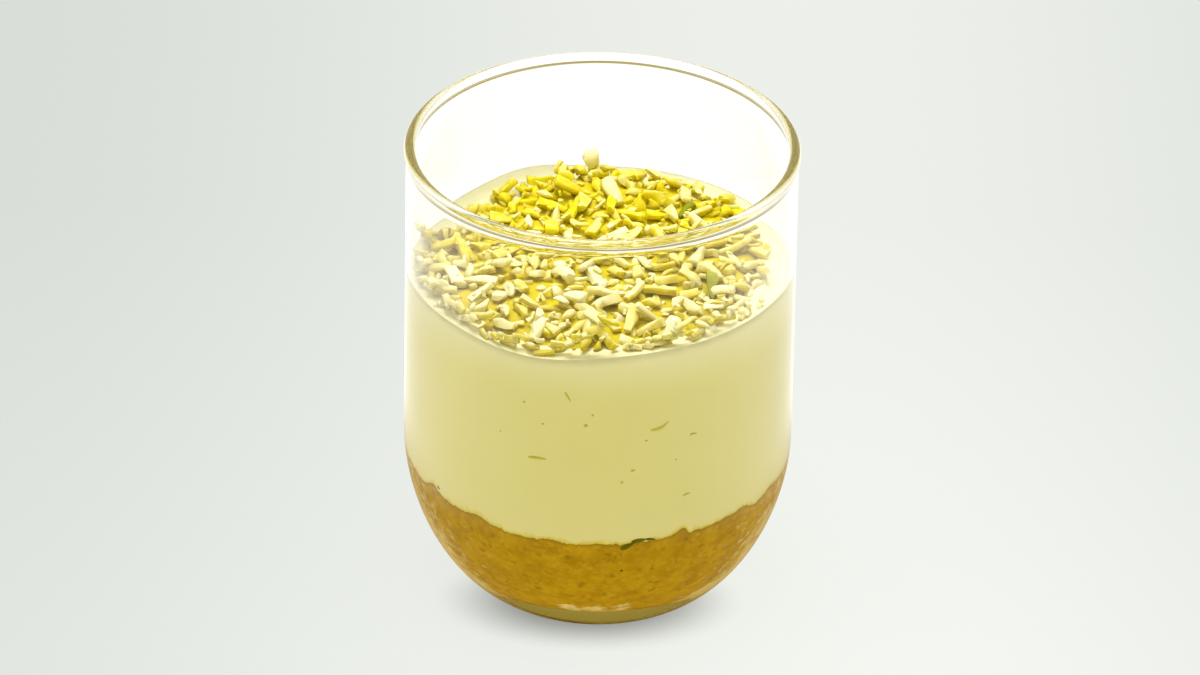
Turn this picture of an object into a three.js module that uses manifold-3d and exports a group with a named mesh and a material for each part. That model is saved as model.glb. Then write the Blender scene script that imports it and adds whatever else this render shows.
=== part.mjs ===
// A matcha cheesecake cup: a round-bottomed glass tumbler that holds a biscuit crumb base, a deep layer of
// smooth matcha cheesecake and a heap of chopped nuts.
// Millimetres, +Z up. The origin is the middle of the glass's flat foot, and the front of the cup faces -Y.
import * as THREE from "three";
import { mergeVertices } from "three/addons/utils/BufferGeometryUtils.js";
import Module from "manifold-3d";

const wasm = await Module();
wasm.setup();

// The glass
const GLASS_HEIGHT = 95;
const RIM_RADIUS = 37.5;
const LIP_RADIUS = 0.95;
const WALL_RADIUS_TOP = 37.1;
const WALL_RADIUS_LOW = 37.4;
const WALL_THICKNESS = 1.6;
const BOWL_HEIGHT = 32.5;
const FOOT_RADIUS = 17.2;
const BOWL_ROUNDNESS = 1.8;
const FLOOR_THICKNESS = 8.8;
const FLOOR_RADIUS = 14;
const GLASS_SIDES = 64;
const BOWL_STEPS = 8;
const LIP_STEPS = 8;

// The filling. Solids that touch keep this gap, and the levels are heights above the foot.
const GAP = 0.3;
const CRUMB_LEVEL = 29.6;
const CREAM_LEVEL = 70.1;
const FILLING_SIDES = 56;

// The heap of chopped nuts: smaller pieces lie below, and the larger ones on top of them are what shows.
const HEAP_SEED = 3.25;
const LOWER_PIECES = { number: 230, shortest: 2.8, spread: 1.8, width: 1.5, thick: 1.0 };
const UPPER_PIECES = { number: 160, shortest: 3.6, spread: 3.6, width: 2.0, thick: 1.25 };
// One chunk stands on end at the back, with its middle this far above the pile's mean height.
const UPRIGHT_PIECE = { x: -2.1, y: 29.2, length: 4.4, width: 3.4, thick: 3.0, yaw: 0.6, lean: 1.15 };
const UPRIGHT_RISE = 1.4;
const GLASS_CLEARANCE = 34.6;

// Angles go round from the front, -Y, and grow towards +X, in degrees.
const radians = THREE.MathUtils.degToRad;
const frontAngle = (x, y) => THREE.MathUtils.radToDeg(Math.atan2(x, -y));

// One rounded swelling or dip in a line that runs round the cup, with its middle and half width in degrees.
function swelling(angle, middle, halfWidth, height) {
  const away = ((angle - middle + 540) % 360) - 180;
  return height * Math.exp(-((away / halfWidth) ** 2));
}

const smoothStep = (low, high, value) => THREE.MathUtils.smoothstep(value, low, high);

// The outer and inner bowls are both quarter superellipses, from a flat disc up to the upright wall.
const OUTER_BOWL = { bottom: 0, top: BOWL_HEIGHT, disc: FOOT_RADIUS, wall: WALL_RADIUS_LOW };
const INNER_BOWL = {
  bottom: FLOOR_THICKNESS,
  top: BOWL_HEIGHT,
  disc: FLOOR_RADIUS,
  wall: WALL_RADIUS_LOW - WALL_THICKNESS,
};

function bowlPoints(bowl, steps) {
  return Array.from({ length: steps + 1 }, (_, i) => {
    const turn = (i / steps) * (Math.PI / 2);
    const out = Math.sin(turn) ** (2 / BOWL_ROUNDNESS);
    const up = 1 - Math.cos(turn) ** (2 / BOWL_ROUNDNESS);
    return new THREE.Vector2(
      bowl.disc + (bowl.wall - bowl.disc) * out,
      bowl.bottom + (bowl.top - bowl.bottom) * up,
    );
  });
}

// The radius of the inside of the glass at a height, where the filling meets it, less the gap all round.
function fillingRadius(height) {
  const z = height - GAP;
  const { bottom, top, disc, wall } = INNER_BOWL;
  if (z < top) {
    const down = THREE.MathUtils.clamp((top - z) / (top - bottom), 0, 1);
    return disc + (wall - disc) * (1 - down ** BOWL_ROUNDNESS) ** (1 / BOWL_ROUNDNESS) - GAP;
  }
  const share = (z - top) / (GLASS_HEIGHT - top);
  return wall + (WALL_RADIUS_TOP - WALL_RADIUS_LOW) * share - GAP;
}

// The glass is one turned solid: up the outside, over the rolled lip and down the inside to the floor.
function tumbler() {
  const lipMiddle = new THREE.Vector2(RIM_RADIUS - LIP_RADIUS, GLASS_HEIGHT - LIP_RADIUS);
  const lip = Array.from({ length: LIP_STEPS + 1 }, (_, i) => {
    const turn = radians(-35 + (i / LIP_STEPS) * 250);
    return new THREE.Vector2(Math.cos(turn), Math.sin(turn)).multiplyScalar(LIP_RADIUS).add(lipMiddle);
  });
  const lipFoot = GLASS_HEIGHT - 3.2 * LIP_RADIUS;
  const profile = [
    new THREE.Vector2(0, 0),
    ...bowlPoints(OUTER_BOWL, BOWL_STEPS),
    new THREE.Vector2(WALL_RADIUS_TOP, lipFoot),
    ...lip,
    new THREE.Vector2(WALL_RADIUS_TOP - WALL_THICKNESS, lipFoot),
    ...bowlPoints(INNER_BOWL, BOWL_STEPS).reverse(),
    new THREE.Vector2(0, FLOOR_THICKNESS),
  ];
  return new THREE.LatheGeometry(profile, GLASS_SIDES).rotateX(Math.PI / 2);
}

// The line where the crumbs meet the glass: lower at the front, with crags where the crumbs were pressed up.
function crumbLine(angle) {
  const turn = radians(angle);
  const ripple = 0.35 * Math.sin(9 * turn + 1.1) + 0.25 * Math.sin(17 * turn + 0.4);
  const crags =
    swelling(angle, -58, 4, 2.1) +
    swelling(angle, 27, 4, 1.5) +
    swelling(angle, 14, 6, 0.7) +
    swelling(angle, 6, 6, -0.9) +
    swelling(angle, 128, 7, 1.6) +
    swelling(angle, -150, 6, 1.8);
  return CRUMB_LEVEL - 1.0 * Math.cos(turn) + ripple + crags;
}

// The crumbs' upper face: the line at the glass, smoothing towards the middle of the cup.
function crumbTop(x, y) {
  const reach = Math.hypot(x, y) / WALL_RADIUS_LOW;
  const line = crumbLine(frontAngle(x, y));
  return THREE.MathUtils.lerp(CRUMB_LEVEL - 0.6, line, smoothStep(0.3, 0.95, reach));
}

// The cheesecake's upper face. It was levelled with a spatula: it stands a little higher on the right, dips
// at the front left, is smeared up the glass at the back left, and has curved strokes beside the nuts.
function creamTop(x, y) {
  const radius = Math.hypot(x, y);
  const angle = frontAngle(x, y);
  const edge = smoothStep(18, 33, radius);
  const level = CREAM_LEVEL + 0.02 * x + edge * swelling(angle, -20, 22, -1.5);
  const strokesRight = swelling(angle, 84, 34, 0.5) * Math.cos((radius - 30.5 + 0.04 * angle) * 1.75);
  const strokesBack = swelling(angle, -140, 30, 0.4) * Math.cos((radius - 31.5) * 1.5);
  const smear = smoothStep(30.5, 35, radius) * swelling(angle, -156, 15, 1.3);
  return level + smear + edge * (strokesRight + strokesBack);
}

// A closed solid built round Z whose outline may change with the angle. outlineAt gives points [radius, z]
// from the axis at the bottom to the axis at the top, the same number at every angle.
function turned(outlineAt, sides) {
  const outlines = Array.from({ length: sides }, (_, side) => outlineAt((side / sides) * 2 * Math.PI));
  const inner = outlines[0].length - 2;
  const places = [0, 0, outlines[0][0][1]];
  outlines.forEach((outline, side) => {
    const turn = (side / sides) * 2 * Math.PI;
    outline.slice(1, -1).forEach(([radius, z]) => {
      places.push(radius * Math.cos(turn), radius * Math.sin(turn), z);
    });
  });
  places.push(0, 0, outlines[0].at(-1)[1]);
  const last = places.length / 3 - 1;
  const faces = [];
  for (let side = 0; side < sides; side++) {
    const here = 1 + side * inner;
    const next = 1 + ((side + 1) % sides) * inner;
    faces.push(0, next, here);
    for (let ring = 0; ring < inner - 1; ring++) {
      const [low, high] = [outlines[side][ring + 1], outlines[side][ring + 2]];
      // Faces that meet across a gap are split along the same diagonal, so that they stay parallel.
      if (high[0] < low[0]) {
        faces.push(here + ring, next + ring, here + ring + 1);
        faces.push(next + ring, next + ring + 1, here + ring + 1);
      } else {
        faces.push(here + ring, next + ring, next + ring + 1);
        faces.push(here + ring, next + ring + 1, here + ring + 1);
      }
    }
    faces.push(here + inner - 1, next + inner - 1, last);
  }
  const geometry = new THREE.BufferGeometry();
  geometry.setAttribute("position", new THREE.Float32BufferAttribute(places, 3));
  geometry.setIndex(faces);
  return geometry;
}

// Points across a face of the filling, from the axis out to the wall: a height rule read along one ray.
function acrossFace(turn, wallRadius, shares, heightAt) {
  return shares.map((share) => {
    const radius = share * wallRadius;
    return [radius, heightAt(radius * Math.cos(turn), radius * Math.sin(turn))];
  });
}

// The radius at which a face of the filling reaches the glass along one ray.
function wallReach(turn, heightAt) {
  let radius = fillingRadius(CREAM_LEVEL);
  for (let pass = 0; pass < 4; pass++) {
    radius = fillingRadius(heightAt(radius * Math.cos(turn), radius * Math.sin(turn)));
  }
  return radius;
}

// The crumb base fills the bowl of the glass up to its craggy line.
const CRUMB_SHARES = [0, 0.35, 0.7, 1];
const CRUMB_SIDE_STEPS = 7;
function crumbBase() {
  return turned((turn) => {
    const reach = wallReach(turn, crumbTop);
    const line = crumbTop(reach * Math.cos(turn), reach * Math.sin(turn));
    const floor = FLOOR_THICKNESS + GAP;
    const side = Array.from({ length: CRUMB_SIDE_STEPS }, (_, i) => {
      const z = floor + (line - floor) * (i / CRUMB_SIDE_STEPS) ** 2;
      return [fillingRadius(z), z];
    });
    return [[0, floor], ...side, ...acrossFace(turn, reach, CRUMB_SHARES, crumbTop).reverse()];
  }, FILLING_SIDES);
}

// The cheesecake layer stands on the crumbs, follows the glass and ends in the levelled face.
const CREAM_SHARES = [0, 0.3, 0.55, 0.72, 0.8, 0.86, 0.91, 0.955, 1];
const creamBottom = (x, y) => crumbTop(x, y) + GAP;
function cheesecakeLayer() {
  return turned((turn) => {
    const low = wallReach(turn, crumbTop);
    const high = wallReach(turn, creamTop);
    const bend = Math.max(BOWL_HEIGHT + GAP, creamBottom(low * Math.cos(turn), low * Math.sin(turn)) + 1);
    return [
      ...acrossFace(turn, low, CRUMB_SHARES, creamBottom),
      [fillingRadius(bend), bend],
      ...acrossFace(turn, high, CREAM_SHARES, creamTop).reverse(),
    ];
  }, FILLING_SIDES);
}

// A repeatable row of draws from 0 to 1, by a linear congruential rule.
function seededDraws(seed) {
  let state = Math.floor(seed * 1e6) % 4294967296;
  return () => {
    state = (state * 1664525 + 1013904223) % 4294967296;
    return state / 4294967296;
  };
}

// How far the heap reaches from the axis: to the glass at the front and left, less at the back and right.
function heapReach(angle) {
  const back = swelling(angle, 180, 70, -2.6) + swelling(angle, 178, 22, 1.2) + swelling(angle, -135, 25, -1.6);
  return 33.6 + back + swelling(angle, 75, 28, -2.4);
}

// The heap's body under the loose pieces swells towards the middle of the cup, and most of all at the back.
function moundTop(x, y) {
  const share = Math.min(Math.hypot(x, y) / heapReach(frontAngle(x, y)), 1);
  const hump = 1.5 * Math.exp(-(((x + 2) / 12) ** 2)) * smoothStep(8, 24, y);
  const swell = 0.9 + 1.5 * smoothStep(-30, 18, y) + hump;
  const fullness = 2.6 + 2.4 * smoothStep(4, 24, y);
  return creamTop(x, y) + swell * (1 - share ** fullness);
}

// The pile is a grid of heights that starts as the mound and grows with each piece dropped on it.
const CELL = 1;
const CELLS = 74;
const cellMiddle = (index) => (index - CELLS / 2 + 0.5) * CELL;
const cellOf = (place) => THREE.MathUtils.clamp(Math.floor(place / CELL + CELLS / 2), 0, CELLS - 1);

function startPile() {
  return Array.from({ length: CELLS * CELLS }, (_, i) => {
    return moundTop(cellMiddle(i % CELLS), cellMiddle(Math.floor(i / CELLS)));
  });
}

const pileHeight = (pile, x, y) => pile[cellOf(y) * CELLS + cellOf(x)];

// The numbers from 0 up in a mixed order.
function mixedOrder(number, draw) {
  const order = Array.from({ length: number }, (_, i) => i);
  for (let i = number - 1; i > 0; i--) {
    const other = Math.floor(draw() * (i + 1));
    [order[i], order[other]] = [order[other], order[i]];
  }
  return order;
}

// Pieces fall one at a time in a mixed order, each on its own spot of a sunflower pattern, so that they lie
// evenly. A piece comes to rest leaning on what lies under its two ends and its middle.
const GOLDEN_ANGLE = 180 * (3 - Math.sqrt(5));
function dropPieces(pile, draw, kind) {
  return mixedOrder(kind.number, draw).map((spot) => {
    const length = kind.shortest + kind.spread * draw() ** 1.6;
    const width = kind.width * (1 + 0.6 * draw());
    const thick = kind.thick * (1 + 0.7 * draw());
    const yaw = draw() * Math.PI * 2;
    const angle = ((spot * GOLDEN_ANGLE + 9 * draw() + 180) % 360) - 180;
    const lying = Math.abs(Math.cos(yaw - radians(angle - 90))) * length;
    const limit = Math.min(heapReach(angle), GLASS_CLEARANCE - 0.5 * lying - 0.35 * width);
    const radius = limit * Math.sqrt((spot + 0.5) / kind.number);
    const x = radius * Math.sin(radians(angle));
    const y = -radius * Math.cos(radians(angle));
    const arm = 0.38 * length;
    const ahead = pileHeight(pile, x + arm * Math.cos(yaw), y + arm * Math.sin(yaw));
    const behind = pileHeight(pile, x - arm * Math.cos(yaw), y - arm * Math.sin(yaw));
    const under = pileHeight(pile, x, y);
    const lean = Math.atan2(ahead - behind, 2 * arm) * 0.8 + (draw() - 0.5) * 0.7;
    const roll = (draw() - 0.5) * 1.4;
    const rest = Math.max((ahead + behind) / 2, under * 0.6 + Math.max(ahead, behind) * 0.4);
    const piece = { x, y, z: rest + thick * 0.2, length, width, thick, yaw, lean, roll };
    piece.taper = 0.45 + 0.5 * draw();
    piece.shear = (draw() - 0.5) * 0.6;
    raisePile(pile, piece);
    return piece;
  });
}

function raisePile(pile, piece) {
  const [aheadX, aheadY] = [Math.cos(piece.yaw), Math.sin(piece.yaw)];
  for (let along = -0.5; along <= 0.5; along += 0.125) {
    for (const side of [-0.3, 0, 0.3]) {
      const x = piece.x + along * piece.length * aheadX - side * piece.width * aheadY;
      const y = piece.y + along * piece.length * aheadY + side * piece.width * aheadX;
      const cell = cellOf(y) * CELLS + cellOf(x);
      const top = piece.z + Math.tan(piece.lean) * along * piece.length + 0.35 * piece.thick;
      pile[cell] = Math.max(pile[cell], top);
    }
  }
}

// The pile's height with the hollows between pieces averaged out.
function pileMean(pile, x, y) {
  let sum = 0;
  for (const [dx, dy] of [[0, 0], [2, 0], [-2, 0], [0, 2], [0, -2]]) {
    sum += pileHeight(pile, x + dx, y + dy);
  }
  return sum / 5;
}

// One chopped piece: a box whose far end is narrower and set to one side.
function choppedPiece(piece) {
  const box = new THREE.BoxGeometry(piece.length, piece.width, piece.thick);
  const spots = box.getAttribute("position");
  for (let i = 0; i < spots.count; i++) {
    if (spots.getX(i) > 0) {
      spots.setY(i, spots.getY(i) * piece.taper + piece.shear * piece.width * 0.5);
      spots.setZ(i, spots.getZ(i) * (0.5 + 0.5 * piece.taper));
    } else if (spots.getZ(i) > 0) {
      spots.setX(i, spots.getX(i) + piece.shear * piece.thick);
    }
  }
  box.rotateX(piece.roll).rotateY(-piece.lean).rotateZ(piece.yaw);
  return box.translate(piece.x, piece.y, piece.z);
}

function solidOf(geometry) {
  const bare = geometry.clone();
  bare.deleteAttribute("normal");
  bare.deleteAttribute("uv");
  const merged = mergeVertices(bare, 1e-4);
  const mesh = new wasm.Mesh({
    numProp: 3,
    vertProperties: new Float32Array(merged.getAttribute("position").array),
    triVerts: new Uint32Array(merged.index.array),
  });
  return new wasm.Manifold(mesh);
}

function geometryOf(solid) {
  const mesh = solid.getMesh();
  const geometry = new THREE.BufferGeometry();
  geometry.setAttribute("position", new THREE.BufferAttribute(mesh.vertProperties, 3));
  geometry.setIndex(new THREE.BufferAttribute(mesh.triVerts, 1));
  return geometry;
}

// The heap's core takes the place of the lower pieces. It reaches into the cheesecake and is trimmed
// afterwards.
const CORE_SIDES = 24;
const CORE_SHARES = [0, 0.28, 0.56, 0.82, 0.94, 1];
function heapCore(lowerPile) {
  return turned((turn) => {
    const reach = heapReach(frontAngle(Math.cos(turn), Math.sin(turn))) - 0.6;
    const top = (x, y) => {
      const thin = creamTop(x, y) + 3 * GAP;
      const rim = smoothStep(reach * 0.88, reach * 1.04, Math.hypot(x, y));
      return Math.max(thin, THREE.MathUtils.lerp(pileMean(lowerPile, x, y) - 0.2, thin, rim));
    };
    const bottom = (x, y) => creamTop(x, y) - 1;
    return [
      ...acrossFace(turn, reach, [0, 1], bottom),
      ...acrossFace(turn, reach, CORE_SHARES, top).reverse(),
    ];
  }, CORE_SIDES);
}

// What the heap may not enter: the cheesecake with the gap above it.
function underHeap() {
  return turned((turn) => {
    const above = (x, y) => creamTop(x, y) + GAP;
    const face = acrossFace(turn, wallReach(turn, creamTop), CREAM_SHARES, above);
    const floor = CREAM_LEVEL - 12;
    return [[0, floor], [RIM_RADIUS, floor], [RIM_RADIUS, face.at(-1)[1]], ...face.reverse()];
  }, FILLING_SIDES);
}

// The nuts are one solid: the core with the upper pieces and one upright piece joined to it.
function nutHeap() {
  const draw = seededDraws(HEAP_SEED);
  const pile = startPile();
  dropPieces(pile, draw, LOWER_PIECES);
  const core = solidOf(heapCore(pile));
  const upper = dropPieces(pile, draw, UPPER_PIECES);
  const z = pileMean(pile, UPRIGHT_PIECE.x, UPRIGHT_PIECE.y) + UPRIGHT_RISE;
  upper.push({ ...UPRIGHT_PIECE, z, roll: 0.3, taper: 0.75, shear: 0.2 });
  const joined = wasm.Manifold.union([core, ...upper.map((piece) => solidOf(choppedPiece(piece)))]);
  const bodies = joined.subtract(solidOf(underHeap())).simplify(0.08).decompose();
  bodies.sort((a, b) => b.volume() - a.volume());
  return geometryOf(bodies[0]);
}

// Colours as they look in soft daylight
const glassMaterial = new THREE.MeshStandardMaterial({
  color: 0xf4f6f0,
  roughness: 0.03,
  metalness: 0,
  transparent: true,
  opacity: 0.25,
});
const crumbMaterial = new THREE.MeshStandardMaterial({ color: 0xa87a1c, roughness: 0.85, metalness: 0 });
const creamMaterial = new THREE.MeshStandardMaterial({ color: 0xdcd492, roughness: 0.5, metalness: 0 });
const nutMaterial = new THREE.MeshStandardMaterial({ color: 0xe2d870, roughness: 0.6, metalness: 0 });

function named(name, geometry, material) {
  const mesh = new THREE.Mesh(geometry, material);
  mesh.name = name;
  return mesh;
}

const cup = new THREE.Group();
cup.add(named("glass_tumbler", tumbler(), glassMaterial));
cup.add(named("crumb_base", crumbBase(), crumbMaterial));
cup.add(named("matcha_cheesecake", cheesecakeLayer(), creamMaterial));
cup.add(named("chopped_nuts", nutHeap(), nutMaterial));

export default cup;
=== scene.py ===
# %% [markdown]
# # A matcha cheesecake in its glass
# The cup is a round-bottomed glass tumbler with three layers in it: pressed biscuit crumbs, smooth matcha
# cheesecake and a heap of chopped nuts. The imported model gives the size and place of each, as faceted solids.
# Here each of them gets its real surface: turned glass, a poured filling and a few hundred cut nut pieces.

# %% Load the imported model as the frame
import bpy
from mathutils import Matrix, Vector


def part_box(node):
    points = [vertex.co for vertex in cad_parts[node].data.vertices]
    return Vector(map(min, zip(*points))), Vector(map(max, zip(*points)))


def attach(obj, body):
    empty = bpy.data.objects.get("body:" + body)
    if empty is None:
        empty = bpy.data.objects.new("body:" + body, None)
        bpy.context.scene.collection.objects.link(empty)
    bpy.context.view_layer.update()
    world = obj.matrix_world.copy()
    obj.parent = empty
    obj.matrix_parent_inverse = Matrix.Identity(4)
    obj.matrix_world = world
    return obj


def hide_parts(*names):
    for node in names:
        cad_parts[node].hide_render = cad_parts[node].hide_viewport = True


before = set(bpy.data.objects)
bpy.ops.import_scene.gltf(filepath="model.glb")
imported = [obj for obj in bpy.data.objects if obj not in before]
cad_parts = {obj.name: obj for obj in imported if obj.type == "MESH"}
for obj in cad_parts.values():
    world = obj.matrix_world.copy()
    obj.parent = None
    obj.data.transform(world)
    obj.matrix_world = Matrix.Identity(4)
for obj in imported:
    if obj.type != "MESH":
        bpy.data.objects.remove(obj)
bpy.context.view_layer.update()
print("CAD nodes:", sorted(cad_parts))

# %% Bring in what Blender and Python give
import math
import random
from functools import cache

import bmesh
import bpy
from mathutils import Matrix, Quaternion, Vector, noise

# %% [markdown]
# ## Sizes
# Shapes are worked out in millimetres and turned into metres once, when a piece is finished. The outer sizes
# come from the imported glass, so the detailed glass can't grow out of the box of the plain one.

# %% Read the glass's size from the frame
MM = 0.001
glass_low, glass_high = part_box("glass_tumbler")
GLASS_HEIGHT = glass_high.z / MM
RIM_RADIUS = min(glass_high.x, -glass_low.x, glass_high.y, -glass_low.y) / MM
print(f"glass: {GLASS_HEIGHT:.2f} mm high, {2 * RIM_RADIUS:.2f} mm across the rim")

# %% [markdown]
# ## Camera
# The photograph was taken from a little over a metre away with a long lens, looking down by 31 degrees, and
# held about a degree askew. A long lens keeps the cup's sides almost parallel.

# %% Place the camera
def add_object(name, data):
    """Put a mesh, a lamp or a camera into the scene."""
    holder = bpy.data.objects.new(name, data)
    bpy.context.scene.collection.objects.link(holder)
    return holder


CUP_MIDDLE = Vector((0, 0, 47.55)) * MM
CAMERA_ELEVATION = math.radians(30.88)
CAMERA_DISTANCE = 1363.8 * MM
CAMERA_ROLL = math.radians(1.0)
LENS = 213.0
AIM_ABOVE_MIDDLE = 4.30 * MM
AIM_RIGHT_OF_MIDDLE = 0.15 * MM


def place_camera():
    """Look at the cup from the front and above, with the turn and the aim of the photograph."""
    camera = bpy.data.cameras.new("camera")
    camera.lens = LENS
    camera.sensor_width = 36
    camera.clip_end = 20
    holder = add_object("camera", camera)
    back = Vector((0, -math.cos(CAMERA_ELEVATION), math.sin(CAMERA_ELEVATION)))
    up = Vector((0, math.sin(CAMERA_ELEVATION), math.cos(CAMERA_ELEVATION)))
    holder.location = CUP_MIDDLE + CAMERA_DISTANCE * back
    aim = CUP_MIDDLE + AIM_ABOVE_MIDDLE * up + Vector((AIM_RIGHT_OF_MIDDLE, 0, 0))
    holder.rotation_mode = "QUATERNION"
    looking = (aim - holder.location).to_track_quat("-Z", "Y")
    holder.rotation_quaternion = looking @ Quaternion((0, 0, 1), CAMERA_ROLL)
    bpy.context.scene.camera = holder
    return holder


camera = place_camera()
print("camera at", [round(value, 3) for value in camera.location])

# %% [markdown]
# ## Colours and material nodes
# Colours are picked as sRGB hex values, the way a paint chart gives them, while shaders work with linear
# light. One function turns the first into the second. Another adds a shader node, sets its own sockets and
# joins it to the nodes before it, so that a material reads from top to bottom.


# %% Turn hex colours to linear ones and add nodes
def linear(hex_colour):
    """The linear RGBA colour of an sRGB hex value such as "#dcd492"."""
    channels = [int(hex_colour[i:i + 2], 16) / 255 for i in (1, 3, 5)]
    return [c / 12.92 if c <= 0.04045 else ((c + 0.055) / 1.055) ** 2.4 for c in channels] + [1]


def add_node(tree, kind, inputs=None, **settings):
    """Add a node. Each input is a value, a hex colour or the output socket that it is joined to."""
    node = tree.nodes.new(kind)
    for name, value in settings.items():
        setattr(node, name, value)
    for socket, value in (inputs or {}).items():
        if isinstance(value, bpy.types.NodeSocket):
            tree.links.new(value, node.inputs[socket])
        else:
            node.inputs[socket].default_value = linear(value) if isinstance(value, str) else value
    return node


def new_material(name):
    """An empty material with its output node."""
    material = bpy.data.materials.new(name)
    material.use_nodes = True
    material.node_tree.nodes.clear()
    return material, material.node_tree, material.node_tree.nodes.new("ShaderNodeOutputMaterial")


print("cheesecake green #dcd492 is", [round(c, 3) for c in linear("#dcd492")[:3]], "in linear light")

# %% [markdown]
# A few kinds of node come back in every material. Each has a short function that gives the socket with its
# result, so that the recipe of a colour isn't lost among sockets and settings.


# %% Give the common nodes short names
def coordinate(tree, vector, axis):
    return add_node(tree, "ShaderNodeSeparateXYZ", {0: vector}).outputs[axis]


def distance(tree, vector):
    return add_node(tree, "ShaderNodeVectorMath", {0: vector}, operation="LENGTH").outputs["Value"]


def calculate(tree, operation, *numbers):
    return add_node(tree, "ShaderNodeMath", dict(enumerate(numbers)), operation=operation).outputs[0]


def ramp(tree, value, low, high, first=0.0, last=1.0, interpolation="LINEAR"):
    """A number that goes from first to last while the value goes from low to high, and stays there."""
    sockets = {0: value, 1: low, 2: high, 3: first, 4: last}
    return add_node(tree, "ShaderNodeMapRange", sockets, interpolation_type=interpolation).outputs[0]


def blend(tree, share, first, second):
    """A colour between two others. The node has three sockets of each name, so their places are given."""
    return add_node(tree, "ShaderNodeMix", {0: share, 6: first, 7: second}, data_type="RGBA").outputs[2]


def patches(tree, place, scale, detail, roughness=0.5):
    """Soft random patches, with a number of them to a metre."""
    sockets = {"Vector": place, "Scale": scale, "Detail": detail, "Roughness": roughness}
    return add_node(tree, "ShaderNodeTexNoise", sockets).outputs["Fac"]


def written_on(tree, name):
    """A number that is written on the corners of the mesh."""
    return add_node(tree, "ShaderNodeAttribute", attribute_name=name).outputs["Fac"]


def bump(tree, height, depth, strength):
    sockets = {"Height": height, "Distance": depth, "Strength": strength}
    return add_node(tree, "ShaderNodeBump", sockets).outputs[0]


def emission(tree, colour, strength):
    return add_node(tree, "ShaderNodeEmission", {"Color": colour, "Strength": strength}).outputs[0]


def either(tree, share, first, second):
    """The first shader where the share is 0 and the second where it is 1."""
    return add_node(tree, "ShaderNodeMixShader", {0: share, 1: first, 2: second}).outputs[0]


def give_surface(tree, output, **sockets):
    """A principled surface. An underscore in a socket's name stands for the space in it."""
    named = {name.replace("_", " "): value for name, value in sockets.items()}
    surface = add_node(tree, "ShaderNodeBsdfPrincipled", named)
    tree.links.new(surface.outputs[0], output.inputs["Surface"])


print("short names:", ", ".join(helper.__name__ for helper in (coordinate, distance, calculate, ramp, blend)))

# %% [markdown]
# ## Floor and light
# The photograph has a plain pale grey-green ground, a soft shadow that lies in front of the foot, and a very
# bright surround, which is what turns the inside of the empty glass white. A soft box hangs above the cup.
# The floor mostly glows, with painted light that is brightest a little to the right and a painted shadow in
# front of the foot, and it takes a little real light as well. Glass shows whatever lies behind it, so the
# floor has four looks: grey green to the camera, bright to the food that it lights, white at the back and dim
# in front where it shows through the glass, and graded where the glass mirrors it.

# %% Choose the studio's measures
FLOOR_DROP = 0.05 * MM
FLOOR_SIZE = 3.0
SOFTBOX_RADIUS = 0.28
SOFTBOX_PLACE = Vector((-0.10, 0.12, 1.0))
LIGHT_BOUNCES = 20
SOFTBOX_RADIANCE = 11.6
# Ground tones where the painted light is brightest and where it has faded
GROUND_BEYOND_PAINTED_LIGHT = "#dde2dd"
GROUND_IN_PAINTED_LIGHT = "#f2f5ef"
PAINTED_LIGHT_MIDDLE = 45 * MM
GROUND_FALL_OFF = 185 * MM
# The painted shadow in front of the foot
SHADOW_MIDDLE = Vector((-1, -11, 0)) * MM
SHADOW_STRETCH = 1.6
SHADOW_CORE = 11 * MM
SHADOW_REACH = 31 * MM
SHADOW_DEPTH = 0.66
SHADE_SHARE = 0.05
# Each pair gives where a change begins and ends, or the strengths before and after it
GROUND_DIMMING, GROUND_STRENGTHS = (-30 * MM, 140 * MM), (1.0, 0.92)
SHOWN_CHANGE, SHOWN_STRENGTHS = (-70 * MM, -35 * MM), (0.3, 1.2)
LIGHT_CHANGE, LIGHT_STRENGTHS = (-20 * MM, 50 * MM), (2.15, 1.05)
MIRRORED_CHANGE, MIRRORED_STRENGTHS = (-0.98, -0.1), (0.10, 1.35)
BOWL_GLOW = (52 * MM, 88 * MM)
# Where the painted shade under the foot gives way to the table
FOOT_CONTACT = (15 * MM, 25 * MM)
BRIGHT_TABLE_END = (430 * MM, 516 * MM)
# Where the pale painted glints in that shade begin and end
CONTACT_STREAKS = (0.45, 0.6)


# %% Make the floor
def make_floor():
    """A wide plain floor just under the foot of the glass."""
    bm = bmesh.new()
    bmesh.ops.create_grid(bm, x_segments=1, y_segments=1, size=FLOOR_SIZE)
    bmesh.ops.translate(bm, verts=bm.verts, vec=(0, 0, -FLOOR_DROP))
    mesh = bpy.data.meshes.new("floor")
    bm.to_mesh(mesh)
    bm.free()
    mesh.materials.append(studio_paper())
    add_object("floor", mesh)


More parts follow.
